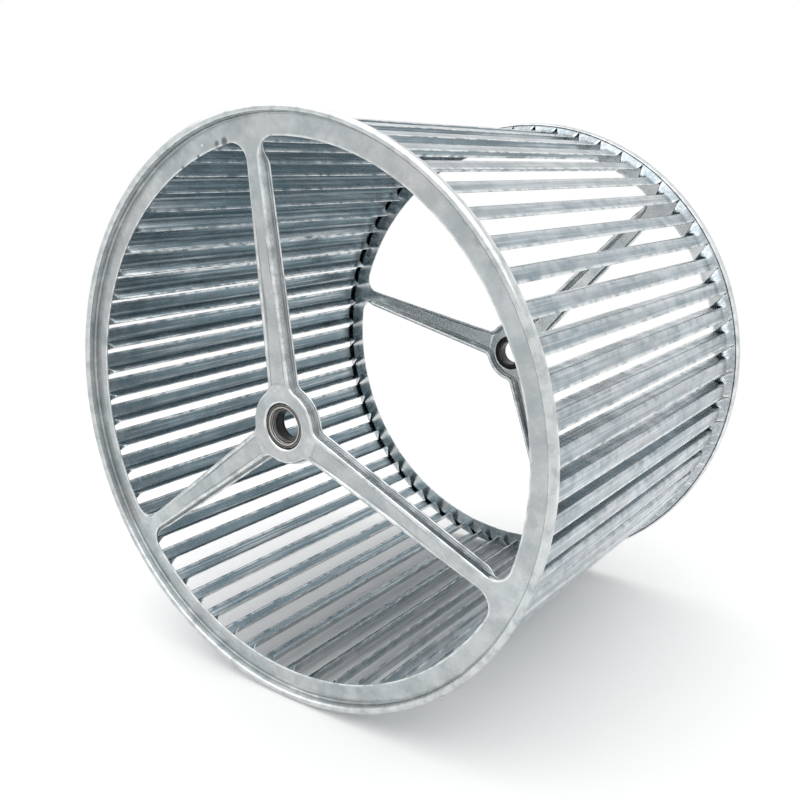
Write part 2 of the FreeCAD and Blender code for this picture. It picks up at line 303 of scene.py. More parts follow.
# painted shade at the bush's inner end
INNER_END_SHADE = (0.008, 0.008, 0.009)
BUSH_LIGHT_AND_SHADE_RINGS = [
    (10.2, (0.015, 0.015, 0.016)),
    (11.9, (0.62, 0.61, 0.59)),
    (13.1, (0.06, 0.054, 0.05)),
    (14.7, (0.025, 0.024, 0.024)),
]
RING_FADE = (0.2, 0.5)
BUSH_MIDDLE = 0.167
BUSH_INNER_END = 0.148
BUSH_END_FADE = 0.002
INNER_END_SHADE_SHARE = 0.95

# Bush: noises, ranges and shares, as for the sheet
RING_EDGES = (260.0, 4.0, 0.55)
RING_UNEVEN = 0.0006
GREASE = (150.0, 4.0, 0.55)
GREASE_RANGE = (0.32, 0.68)
GREASE_SHARE = 0.3
TURNING_SCALE = 2600.0
TURNING_RANGE = (0.45, 0.75)
TURNING_SHARE = 0.2
TURNING_DEPTH = 0.0001
TURNING_BUMP = 0.5
BUSH_WEAR_BREAKS = (300.0, 3.0, 0.55)
BUSH_WEAR_RANGE = (0.25, 0.55)
# bright bush edges: wear and painted highlight
BUSH_WEAR_AND_HIGHLIGHT_SHARE = 0.5
BUSH_ROUGHNESS = (0.28, 0.46)
BUSH_METALLIC = 0.85


# Shared by the shapes


def unit(arrows):
    return arrows / np.maximum(np.linalg.norm(arrows, axis=-1, keepdims=True), TINY)


def smooth(value):
    """Eased from 0 to 1, and level beyond them."""
    value = np.clip(value, 0.0, 1.0)
    return value * value * (3.0 - 2.0 * value)


def direction(degrees):
    return np.array([math.cos(math.radians(degrees)), math.sin(math.radians(degrees))])


def circle(radius, steps):
    return np.array([direction(360.0 * step / steps) * radius for step in range(steps)])


# Profiles: lists of (across, up, normal across, normal up)


def arc(across, up, radius, start, end, steps, side=1.0):
    """Arc about a centre, in degrees. Side is 1 where the metal is inside the arc, else -1."""
    points = []
    for step in range(steps + 1):
        turn = math.radians(start + (end - start) * step / steps)
        points.append((across + radius * math.cos(turn), up + radius * math.sin(turn),
                       side * math.cos(turn), side * math.sin(turn)))
    return points


def rim_profile():
    """From the web's outer face over the bead to the skirt's edge, and back inside to the web."""
    bead_centre = WHEEL_RADIUS - BEAD
    lean = math.atan2(SKIRT_INSET, BEAD_HEIGHT + SKIRT_DROP)
    nose = WALL / 2
    middle = WHEEL_RADIUS - SKIRT_INSET - nose
    outer = (math.cos(lean), -math.sin(lean))
    return (
        arc(WEB_RADIUS, CORNER, CORNER, -90, 0, steps=6, side=-1)
        + arc(bead_centre, BEAD_HEIGHT, BEAD, 180, 0, steps=24)
        + [(WHEEL_RADIUS - SKIRT_START[0], BEAD_HEIGHT - SKIRT_START[1], *outer)]
        + arc(middle, nose - SKIRT_DROP, nose, 0, -180, steps=8)
        + [(WHEEL_RADIUS - WALL, BEAD_HEIGHT, -outer[0], -outer[1])]
        + arc(bead_centre, BEAD_HEIGHT, BEAD - WALL, 0, 180, steps=12, side=-1)
        + arc(WEB_RADIUS, CORNER, CORNER + WALL, 0, -90, steps=6)
    )


def eye_profile():
    """From the boss's face into the eye, down the collar and back up to the boss's inner face."""
    centre = EYE_RADIUS + EYE_ROUNDING
    nose = WALL / 2
    return (
        arc(centre, -EYE_ROUNDING, EYE_ROUNDING, 90, 180, steps=8)
        + arc(EYE_RADIUS + nose, nose - COLLAR_DEPTH, nose, 180, 360, steps=8)
        + arc(centre, -EYE_ROUNDING, EYE_ROUNDING - WALL, 180, 90, steps=4, side=-1)
    )


def arm_profile():
    """Section of an arm's edge: face, rounding, wall, lip and back, at full depth."""
    lip_top = WALL - ARM_DEPTH
    bend = LIP_ROUNDING
    nose = WALL / 2
    return (
        [(-FACE_MARGIN, 0.0, 0.0, 1.0)]
        + arc(-ARM_ROUNDING, -ARM_ROUNDING, ARM_ROUNDING, 90, 0, steps=7)
        + arc(bend, lip_top + bend, bend, 180, 270, steps=4, side=-1)
        + arc(ARM_LIP - nose, lip_top - nose, nose, 90, -90, steps=6)
        + arc(bend, lip_top + bend, bend + WALL, 270, 180, steps=5)
        + arc(-ARM_ROUNDING, -ARM_ROUNDING, ARM_ROUNDING - WALL, 0, 90, steps=4, side=-1)
        + [(-FACE_MARGIN, -WALL, 0.0, -1.0)]
    )


def cut_profile():
    """The same number of points round the sheet's cut edge, where the arm's wall has run out."""
    rounding = CUT_ROUNDING
    heights = np.linspace(-rounding - CUT_MARGIN, rounding + CUT_MARGIN - WALL, CUT_POINTS)
    return (
        [(-FACE_MARGIN, 0.0, 0.0, 1.0)]
        + arc(-rounding, -rounding, rounding, 90, 0, steps=7)
        + [(0.0, float(height), 1.0, 0.0) for height in heights]
        + arc(-rounding, rounding - WALL, rounding, 0, -90, steps=5)
        + [(-FACE_MARGIN, -WALL, 0.0, -1.0)]
    )


# Blocks of mesh: (points, faces, normals) as arrays, in millimetres


def grid_faces(rows, columns, close_rows=False, close_columns=False):
    """Four-sided faces between the points of a grid, counted row by row."""
    faces = []
    for row in range(rows if close_rows else rows - 1):
        for column in range(columns if close_columns else columns - 1):
            after = (column + 1) % columns
            below = (row + 1) % rows
            faces.append((row * columns + column, row * columns + after,
                          below * columns + after, below * columns + column))
    return faces


def grid_normals(points, close_rows=False):
    """Normals of a grid of points [row, column, xyz] from its own differences."""
    if close_rows:
        along = np.roll(points, -1, axis=0) - np.roll(points, 1, axis=0)
    else:
        along = np.gradient(points, axis=0)
    across = np.gradient(points, axis=1)
    return unit(np.cross(along, across))


def faced(points, faces, normals):
    """The block with its faces wound so that they look the way its normals point."""
    first, second, third = (points[index] for index in faces[0][:3])
    if np.cross(second - first, third - first) @ normals[faces[0][0]] < 0:
        faces = [face[::-1] for face in faces]
    return points, faces, normals


def lathe(profile, steps, closed=False):
    """Profile of (radius, height) turned round the axis."""
    turns = np.linspace(0.0, 2 * math.pi, steps, endpoint=False)
    radius, height, out, rise = np.array(profile).T
    cos, sin = np.cos(turns)[:, None], np.sin(turns)[:, None]
    flat = np.ones((steps, 1))
    points = np.stack([cos * radius, sin * radius, flat * height], axis=2).reshape(-1, 3)
    normals = np.stack([cos * out, sin * out, flat * rise], axis=2).reshape(-1, 3)
    faces = grid_faces(steps, len(radius), close_rows=True, close_columns=closed)
    return faced(points, faces, normals)


def join(blocks):
    """Several blocks as one."""
    points, faces, normals = [], [], []
    offset = 0
    for block_points, block_faces, block_normals in blocks:
        points.append(block_points)
        normals.append(block_normals)
        faces += [tuple(index + offset for index in face) for face in block_faces]
        offset += len(block_points)
    return np.concatenate(points), faces, np.concatenate(normals)


def placed(block, spin, height, flipped):
    """A block where it sits: spun about the axis, raised, and turned over at the rear."""
    points, faces, normals = block
    cos, sin = direction(spin)
    rotation = np.array([[cos, -sin, 0.0], [sin, cos, 0.0], [0.0, 0.0, 1.0]])
    if flipped:
        rotation = rotation @ np.diag((1.0, -1.0, -1.0))
    return points @ rotation.T + (0.0, 0.0, height), faces, normals @ rotation.T


# End plate


def arm_half(radius):
    """Half the width of an arm at a radius."""
    share = (radius - BOSS_RADIUS) / (WINDOW_RADIUS - BOSS_RADIUS)
    return HUB_HALF + (RING_HALF - HUB_HALF) * share


def window_path():
    """Outline of the window centred on +X, with the direction into the window at each point."""
    along = direction(ARM_PITCH / 2)
    across = direction(ARM_PITCH / 2 - 90.0)
    at_boss = along * BOSS_RADIUS + across * HUB_HALF
    at_ring = along * WINDOW_RADIUS + across * RING_HALF
    run = unit(at_ring - at_boss)
    inward = np.array([run[1], -run[0]])
    axis = np.zeros(2)
    points, inwards = [], []

    def fillet_centre(radius, distance):
        base = at_boss + inward * radius
        half = base @ run
        return base + run * (math.sqrt(half * half - base @ base + distance * distance) - half)

    def add_arc(centre, radius, turns, side):
        for turn in turns:
            normal = np.array([math.cos(turn), math.sin(turn)])
            points.append(centre + normal * radius)
            inwards.append(normal * side)

    ring_centre = fillet_centre(RING_FILLET, WINDOW_RADIUS - RING_FILLET)
    boss_centre = fillet_centre(BOSS_FILLET, BOSS_RADIUS + BOSS_FILLET)
    ring_turn = math.atan2(ring_centre[1], ring_centre[0])
    boss_turn = math.atan2(boss_centre[1], boss_centre[0])
    side_turn = math.atan2(-inward[1], -inward[0])

    add_arc(axis, WINDOW_RADIUS, np.linspace(0.0, ring_turn, RING_POINTS)[:-1], -1)
    ring_fillet_turns = np.linspace(ring_turn, side_turn, RING_FILLET_POINTS)[:-1]
    add_arc(ring_centre, RING_FILLET, ring_fillet_turns, -1)
    start = ring_centre - inward * RING_FILLET
    end = boss_centre - inward * BOSS_FILLET
    for share in np.linspace(0.0, 1.0, ARM_SIDE_POINTS)[:-1]:
        points.append(start + (end - start) * share)
        inwards.append(inward)
    boss_fillet_turns = np.linspace(side_turn, boss_turn + math.pi, BOSS_FILLET_POINTS)[:-1]
    add_arc(boss_centre, BOSS_FILLET, boss_fillet_turns, -1)
    add_arc(axis, BOSS_RADIUS, np.linspace(boss_turn, 0.0, BOSS_POINTS), 1)

    flip = np.array([1.0, -1.0])
    points += [point * flip for point in points[-2:0:-1]]
    inwards += [normal * flip for normal in inwards[-2:0:-1]]
    return np.array(points), np.array(inwards)


def window_sweep(centre):
    """Wall, lip and cut edge round one window, and the loop where they meet the plate's face."""
    path, inward = window_path()
    radius = np.hypot(path[:, 0], path[:, 1])
    share = smooth((WINDOW_RADIUS - RUNOUT_GAP - radius) / RUNOUT)[:, None, None]
    section = share * np.array(arm_profile()) + (1.0 - share) * np.array(cut_profile())
    cos, sin = direction(centre)
    rotation = np.array([[cos, -sin], [sin, cos]])
    path, inward = path @ rotation.T, inward @ rotation.T
    flat = path[:, None, :] + inward[:, None, :] * section[:, :, 0:1]
    points = np.concatenate([flat, section[:, :, 1:2]], axis=2)
    normals = grid_normals(points, close_rows=True)
    normals[:, 0] = (0.0, 0.0, 1.0)
    normals[:, -1] = (0.0, 0.0, -1.0)
    rows, columns = points.shape[:2]
    faces = [face[::-1] for face in grid_faces(rows, columns, close_rows=True)]
    return (points.reshape(-1, 3), faces, normals.reshape(-1, 3)), points[:, 0, :2]


def face_height(points):
    """Height of the pressed face: the sunk panel of each arm, which fades out towards the ring."""
    height = np.zeros(len(points))
    radius = np.hypot(points[:, 0], points[:, 1])
    for arm in range(ARM_COUNT):
        along = direction(FIRST_ARM + arm * ARM_PITCH)
        reach = points @ along
        across = np.abs(points @ np.array([-along[1], along[0]]))
        inside = arm_half(reach) - across
        depth = PANEL_DEPTH * smooth((PANEL_END - reach) / (PANEL_END - PANEL_START) * PANEL_FADE)
        start = smooth((reach - PANEL_START) / PANEL_RUN)
        depth *= PANEL_HUB_SHARE + (1.0 - PANEL_HUB_SHARE) * start
        shape = smooth((inside - PANEL_EDGE) / PANEL_SLOPE)
        shape *= smooth((radius - PANEL_START) / PANEL_HUB_SLOPE)
        height -= np.where(reach > 0.0, depth * shape, 0.0)
    return height


def arm_points():
    """Points inside the arms, close together where the panel's edges are."""
    reaches = np.concatenate([np.arange(*HUB_REACHES), np.arange(*ARM_REACHES)])
    edges = np.arange(*EDGE_OFFSETS)
    points = []
    for arm in range(ARM_COUNT):
        along = direction(FIRST_ARM + arm * ARM_PITCH)
        across = np.array([-along[1], along[0]])
        for reach in reaches:
            half = arm_half(reach)
            middle = np.linspace(0.0, half - edges[-1], MIDDLE_POINTS)[1:-1]
            for offset in [half - edge for edge in edges] + list(middle):
                points.append(along * reach + across * offset)
                points.append(along * reach - across * offset)
            points.append(along * reach)
    return points


def dent_points():
    """Points close together at the dents that lie on the ring."""
    points = []
    least = WINDOW_RADIUS + FACE_MARGIN + DENT_CLEARANCE
    for x, y, radius, _ in DENTS:
        spread = DENT_SPREAD * radius
        for across in np.linspace(-spread, spread, DENT_POINTS):
            for up in np.linspace(-spread, spread, DENT_POINTS):
                if math.hypot(x + across, y + up) > least:
                    points.append(np.array([x + across, y + up]))
    return points


def inside_loop(points, loop):
    """Which points lie inside a closed loop, by counting crossings."""
    start, end = loop, np.roll(loop, -1, axis=0)
    inside = np.zeros(len(points), dtype=bool)
    for (x0, y0), (x1, y1) in zip(start, end):
        if y0 == y1:
            continue
        crosses = (y0 > points[:, 1]) != (y1 > points[:, 1])
        inside ^= crosses & (points[:, 0] < (x1 - x0) * (points[:, 1] - y0) / (y1 - y0) + x0)
    return inside


def face_triangles(outer, holes):
    """Flat points and triangles between the outer loop and the holes."""
    corners, edges = [], []
    for loop in [outer] + holes:
        first = len(corners)
        corners += [Vector(point) for point in loop]
        edges += [(first + step, first + (step + 1) % len(loop)) for step in range(len(loop))]
    corners += [Vector(point) for point in arm_points() + dent_points()]
    flat, _, triangles, _, _, _ = delaunay_2d_cdt(corners, edges, [], 0, SAME_POINT)
    flat = np.array([tuple(point) for point in flat])
    triangles = np.array([tuple(triangle) for triangle in triangles])
    centres = flat[triangles].mean(axis=1)
    keep = inside_loop(centres, outer)
    for loop in holes:
        keep &= ~inside_loop(centres, loop)
    triangles = triangles[keep]
    first, second, third = (flat[triangles[:, corner]] for corner in range(3))
    area = np.cross(second - first, third - first)
    triangles[area < 0] = triangles[area < 0][:, ::-1]
    return flat, triangles


def face_slope(flat, step):
    """Slope of the pressed face along a small step."""
    rise = face_height(flat + step) - face_height(flat - step)
    return rise / (2 * SLOPE_STEP)


def face_blocks(window_loops):
    """Front and back of the flat web, boss and arms between the rim, the eye and the windows."""
    rim = circle(WEB_RADIUS, RIM_STEPS)
    eye = circle(EYE_RADIUS + EYE_ROUNDING, EYE_STEPS)
    flat, triangles = face_triangles(rim, [eye] + window_loops)
    height = face_height(flat)
    slope_x = face_slope(flat, (SLOPE_STEP, 0.0))
    slope_y = face_slope(flat, (0.0, SLOPE_STEP))
    normals = unit(np.stack([-slope_x, -slope_y, np.ones(len(flat))], axis=1))
    front = np.column_stack([flat, height])
    back = np.column_stack([flat, height - WALL])
    faces = [tuple(int(index) for index in triangle) for triangle in triangles]
    return [(front, faces, normals), (back, [face[::-1] for face in faces], -normals)]


def plate_mesh():
    """An end plate that looks up, with its face at height 0."""
    sweeps, loops = [], []
    for number in range(ARM_COUNT):
        block, loop = window_sweep(FIRST_ARM + ARM_PITCH * (number + 0.5))
        sweeps.append(block)
        loops.append(loop)
    rim = lathe(rim_profile(), RIM_STEPS)
    eye = lathe(eye_profile(), EYE_STEPS)
    return join([rim, eye] + sweeps + face_blocks(loops))


def dented(block):
    """The plate with its dents pressed in from the front."""
    points, faces, normals = block
    points, normals = points.copy(), normals.copy()
    for x, y, radius, depth in DENTS:
        away = (points[:, :2] - (x, y)) / radius
        press = depth * np.exp(-(away ** 2).sum(axis=1))
        press = np.where(points[:, 2] < -DENT_REACH, 0.0, press)
        slope = 2.0 * press[:, None] * away / radius
        normals[:, :2] -= slope * normals[:, 2:3]
        points[:, 2] -= press
    return points, faces, unit(normals)


# Bush


def rounded_loop(corners, rounding):
    """Closed profile through corners that have the metal on their right, each one rounded."""
    corners = np.array(corners)
    profile = []
    neighbours = zip(np.roll(corners, 1, axis=0), corners, np.roll(corners, -1, axis=0))
    for before, here, after in neighbours:
        arriving = unit(here - before)
        leaving = unit(after - here)
        first = np.array([-arriving[1], arriving[0]])
        last = np.array([-leaving[1], leaving[0]])
        bend = arriving[0] * leaving[1] - arriving[1] * leaving[0]
        side = -1.0 if bend > 0 else 1.0
        setback = rounding * math.tan(math.acos(np.clip(arriving @ leaving, -1.0, 1.0)) / 2)
        centre = here - arriving * setback - first * rounding * side
        for share in np.linspace(0.0, 1.0, CORNER_POINTS):
            normal = unit(first * (1.0 - share) + last * share)
            profile.append((*(centre + normal * rounding * side), *normal))
        ahead = here + leaving * (setback + LOOP_MARGIN)
        behind = after - leaving * (rounding + LOOP_MARGIN)
        profile.append((*ahead, *last))
        if (behind - ahead) @ leaving > 0:
            profile.append((*behind, *last))
    return profile


def bush_mesh():
    """A bush below a plate's face at height 0, with its recess towards the face."""
    front = -BUSH_SETBACK
    floor = front - RECESS_DEPTH
    back = front - BUSH_LENGTH
    corners = [
        (RECESS_RADIUS, front),
        (BUSH_RADIUS - BUSH_CHAMFER, front),
        (BUSH_RADIUS, front - BUSH_CHAMFER),
        (BUSH_RADIUS, back),
        (BUSH_BORE + BUSH_CHAMFER, back),
        (BUSH_BORE, back + BUSH_CHAMFER),
        (BUSH_BORE, floor - BUSH_CHAMFER),
        (BUSH_BORE + BUSH_CHAMFER, floor),
        (RECESS_RADIUS, floor),
    ]
    return lathe(rounded_loop(corners, BUSH_ROUNDING), EYE_STEPS, closed=True)


# Blade strip


def blade_section():
    """Outer line of one blade from tip to root, with its developed length at each point."""
    face_turn = math.asin(FACE_WIDTH / 2 / TIP_RADIUS)
    tip = np.array([0.0, TIP_RADIUS])
    corner = tip - np.array([math.cos(face_turn), math.sin(face_turn)]) * FACE_WIDTH
    lead = math.radians(LEAD)
    root = np.array([-math.sin(lead), math.cos(lead)]) * ROOT_RADIUS
    along_face = unit(corner - tip)
    along_root = unit(root - corner)
    turn = math.acos(along_face @ along_root)
    setback = BEND_RADIUS * math.tan(turn / 2)
    start = corner - along_face * setback
    end = corner + along_root * setback
    centre = start + np.array([-along_face[1], along_face[0]]) * BEND_RADIUS
    first = math.atan2(*(start - centre)[::-1])
    points = [tip + (start - tip) * share for share in FACE_SHARES]
    for share in np.linspace(0.0, 1.0, BEND_POINTS):
        swing = first + turn * share
        points.append(centre + BEND_RADIUS * np.array([math.cos(swing), math.sin(swing)]))
    points += [end + (root - end) * share for share in ROOT_SHARES]
    points = np.array(points)
    steps = np.linalg.norm(np.diff(points, axis=0), axis=1)
    lengths = np.concatenate([[0.0], np.cumsum(steps)])
    return points, lengths / lengths[-1]


def blade_rows():
    """Levels from the wheel's middle, with how far the sheet has turned to the band at each."""
    half = PLATE_SPACING / 2
    straight_end = half - TWIST_LENGTH
    straight = [(level, 0.0) for level in np.linspace(0.0, straight_end, STRAIGHT_ROWS)]
    twist = [(straight_end + TWIST_LENGTH * share, share)
             for share in np.linspace(0.0, 1.0, TWIST_ROWS)[1:]]
    band = [(half + BAND_REACH * share, 1.0) for share in BAND_SHARES]
    upper = straight + twist + band
    return [(-level, share) for level, share in upper[:0:-1]] + upper


def pitch_rows():
    """Outer surface of one pitch of the strip, and how far each row still is from the band."""
    section, shares = blade_section()
    middle = RIM_HEIGHT + PLATE_SPACING / 2
    angles = np.radians(90.0 + 360.0 / BLADES * shares)
    band = BAND_RADIUS * np.column_stack([np.cos(angles), np.sin(angles)])
    rows, free = [], []
    for level, share in blade_rows():
        blend = float(smooth(share))
        flat = section * (1.0 - blend) + band * blend
        rows.append(np.column_stack([flat, np.full(len(flat), middle + level)]))
        free.append(1.0 - blend)
    return np.array(rows), np.array(free)


def edge_strip(outer, inner, outer_normals, inner_normals):
    """A narrow strip across the sheet's wall, from its outer to its inner edge."""
    points = np.stack([outer, inner], axis=1).reshape(-1, 3)
    normals = np.stack([outer_normals, inner_normals], axis=1).reshape(-1, 3)
    return points, grid_faces(len(outer), 2), normals


def pitch_block():
    """One pitch of the strip as a sheet with rounded slit edges."""
    outer, free = pitch_rows()
    normals = grid_normals(outer)
    if normals[0, 0] @ np.append(outer[0, 0, :2], 0.0) < 0:
        normals = -normals
    inner = outer - normals * STRIP_WALL
    front, back = normals.copy(), -normals
    slits = ((0, unit(outer[:, 0] - outer[:, 1])), (-1, unit(outer[:, -1] - outer[:, -2])))
    for column, away in slits:
        tilt = away * free[:, None]
        front[:, column] = unit(front[:, column] + tilt)
        back[:, column] = unit(back[:, column] + tilt)

    faces = grid_faces(*outer.shape[:2])
    blocks = [
        faced(outer.reshape(-1, 3), faces, front.reshape(-1, 3)),
        faced(inner.reshape(-1, 3), faces, back.reshape(-1, 3)),
    ]
    for column, away in slits:
        points, edge_faces, edge_normals = edge_strip(outer[:, column], inner[:, column],
                                                      front[:, column], back[:, column])
        _, edge_faces, _ = faced(points, edge_faces, np.repeat(away, 2, axis=0))
        blocks.append((points, edge_faces, edge_normals))
    for row, rise in ((0, -1.0), (-1, 1.0)):
        upright = np.tile((0.0, 0.0, rise), (outer.shape[1], 1))
        blocks.append(faced(*edge_strip(outer[row], inner[row], upright, upright)))
    return join(blocks)


def strip_mesh():
    """The whole strip, one pitch after another round the wheel."""
    pitch = pitch_block()
    blocks = []
    for number in range(BLADES):
        spin = BLADE_PHASE - 90.0 + 360.0 * number / BLADES
        blocks.append(placed(pitch, spin, 0.0, False))
    return join(blocks)


# Pieces


def meeting_edges(points, normals):
    """Points where two blocks meet at an angle, such as a sheet and its cut edge."""
    _, group = np.unique(np.round(points, MEETING_DIGITS), axis=0, return_inverse=True)
    group = group.ravel()
    count = np.bincount(group)
    total = np.stack([np.bincount(group, weights=normals[:, axis]) for axis in range(3)], axis=1)
    return (np.linalg.norm(total, axis=1) / count < MEETING)[group]


def store(mesh, name, values):
    attribute = mesh.attributes.new(name, "FLOAT", "POINT")
    attribute.data.foreach_set("value", np.ascontiguousarray(values, dtype=np.float32))


def add_bends(mesh, points, normals):
    """Stores how sharply the sheet bends outwards (wear and painted highlight) and inwards (painted
    shade in creases) at each point.
    """
    ends = np.empty(len(mesh.edges) * 2, dtype=np.int32)
    mesh.edges.foreach_get("vertices", ends)
    first, second = ends.reshape(-1, 2).T
    step = points[second] - points[first]
    swing = ((normals[second] - normals[first]) * step).sum(axis=1)
    bend = swing / np.maximum((step ** 2).sum(axis=1), SHORTEST_EDGE ** 2)
    wear_and_highlight, crease = np.zeros(len(points)), np.zeros(len(points))
    for end in (first, second):
        np.maximum.at(wear_and_highlight, end, bend * BEND_SHARE)
        np.maximum.at(crease, end, -bend * CREASE_SHARE)
    wear_and_highlight[meeting_edges(points, normals)] = 1.0
    store(mesh, "wear_and_highlight", np.clip(wear_and_highlight, 0.0, 1.0))
    store(mesh, "crease", np.clip(crease, 0.0, 1.0))


def make_mesh(name, block, material):
    points, faces, normals = block
    mesh = bpy.data.meshes.new(name)
    mesh.from_pydata((points * MM).tolist(), [], faces)
    mesh.polygons.foreach_set("use_smooth", [True] * len(mesh.polygons))
    mesh.normals_split_custom_set_from_vertices(normals.tolist())
    add_bends(mesh, points, normals)
    mesh.materials.append(material)
    return mesh


def add_object(name, data):
    item = bpy.data.objects.new(name, data)
    bpy.context.collection.objects.link(item)
    return item


def make_piece(node, block, material, slot):
    """The detailed piece that stands for a node."""
    name = node + "_sheet"
    piece = add_object(name, make_mesh(name, block, material))
    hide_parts(node)
    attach(piece, "root")


# Nodes of the materials


def node_tree(owner):
    owner.use_nodes = True
    tree = owner.node_tree
    tree.nodes.clear()
    return tree


def put(tree, socket, value):
    """Feeds a socket from another one, or sets it to a number or a colour."""
    if isinstance(value, bpy.types.NodeSocket):
        tree.links.new(value, socket)
    elif socket.type == "RGBA":
        socket.default_value = (*value, 1.0)
    else:
        socket.default_value = value


def maths(tree, operation, *values):
    node = tree.nodes.new("ShaderNodeMath")
    node.operation = operation
    for socket, value in zip(node.inputs, values):
        put(tree, socket, value)
    return node.outputs["Value"]


def vector_maths(tree, operation, result, *values):
    node = tree.nodes.new("ShaderNodeVectorMath")
    node.operation = operation
    for socket, value in zip(node.inputs, values):
        put(tree, socket, value)
    return node.outputs[result]


def eased(tree, value, low, high, first=0.0, last=1.0):
    """The value eased from first to last while it goes from low to high."""
    node = tree.nodes.new("ShaderNodeMapRange")
    node.interpolation_type = "SMOOTHSTEP"
    put(tree, node.inputs["Value"], value)
    put(tree, node.inputs["From Min"], low)
    put(tree, node.inputs["From Max"], high)
    put(tree, node.inputs["To Min"], first)
    put(tree, node.inputs["To Max"], last)
    return node.outputs["Result"]


def blended(tree, share, first, second):
    """A colour between two others."""
    node = tree.nodes.new("ShaderNodeMix")
    node.data_type = "RGBA"
    put(tree, node.inputs["Factor"], share)
    colours = [socket for socket in node.inputs if socket.type == "RGBA"]
    put(tree, colours[0], first)
    put(tree, colours[1], second)
    return [socket for socket in node.outputs if socket.type == "RGBA"][0]


def mixed(tree, share, first, second):
    """A shader between two others."""
    node = tree.nodes.new("ShaderNodeMixShader")
    put(tree, node.inputs["Fac"], share)
    tree.links.new(first, node.inputs[1])
    tree.links.new(second, node.inputs[2])
    return node.outputs["Shader"]


def noise(tree, place, scale, detail, roughness):
    node = tree.nodes.new("ShaderNodeTexNoise")
    put(tree, node.inputs["Vector"], place)
    put(tree, node.inputs["Scale"], scale)
    put(tree, node.inputs["Detail"], detail)
    put(tree, node.inputs["Roughness"], roughness)
    return node.outputs["Fac"]


def own_place(tree):
    return tree.nodes.new("ShaderNodeTexCoord").outputs["Object"]


def stored(tree, name):
    node = tree.nodes.new("ShaderNodeAttribute")
    node.attribute_name = name
    return node.outputs["Fac"]


def bumped(tree, height, distance, strength, below=None):
    node = tree.nodes.new("ShaderNodeBump")
    put(tree, node.inputs["Height"], height)
    put(tree, node.inputs["Distance"], distance)
    put(tree, node.inputs["Strength"], strength)
    if below is not None:
        put(tree, node.inputs["Normal"], below)
    return node.outputs["Normal"]


def metal_shader(tree, colour, roughness, normal, metallic):
    output = tree.nodes.new("ShaderNodeOutputMaterial")
    shader = tree.nodes.new("ShaderNodeBsdfPrincipled")
    put(tree, shader.inputs["Base Color"], colour)
    put(tree, shader.inputs["Roughness"], roughness)
    put(tree, shader.inputs["Normal"], normal)
    put(tree, shader.inputs["Metallic"], metallic)
    tree.links.new(shader.outputs["BSDF"], output.inputs["Surface"])


# Materials


def broken(tree, place, name, breaks, fade):
    """A stored attribute, such as wear, that noise breaks up."""
    return maths(tree, "MULTIPLY", stored(tree, name), eased(tree, noise(tree, place, *breaks), *fade))


def covered(tree, colour, mask, share, shade):
    """The colour under a share of another one where the mask is."""
    return blended(tree, maths(tree, "MULTIPLY", mask, share), colour, shade)


def marked(tree, place, colour, marks):
    """The colour with single marks on it, each one a blot with an uneven edge."""
    uneven = maths(tree, "MULTIPLY", noise(tree, place, *MARK_EDGES), MARK_UNEVEN)
    for x, y, z, radius, strength, shade in marks:
        away = vector_maths(tree, "DISTANCE", "Value", place, (x * MM, y * MM, z * MM))
        away = maths(tree, "ADD", away, uneven)
        full = radius * MM * MARK_FADE[0]
        gone = radius * MM * MARK_FADE[1] + MARK_UNEVEN / 2
        colour = blended(tree, eased(tree, away, full, gone, strength, 0.0), colour, shade)
    return colour


def from_axis(tree, place):
    """The arrow from the wheel's axis straight out to a place."""
    return vector_maths(tree, "MULTIPLY", "Vector", place, (1.0, 1.0, 0.0))


def facing_axis(tree, place):
    """1 on the faces that look towards the wheel's axis, and 0 on those that look away."""
    normal = tree.nodes.new("ShaderNodeNewGeometry").outputs["Normal"]
    away = vector_maths(tree, "DOT_PRODUCT", "Value", normal, from_axis(tree, place))
    return eased(tree, away, *AXIS_RANGE, 1.0, 0.0)


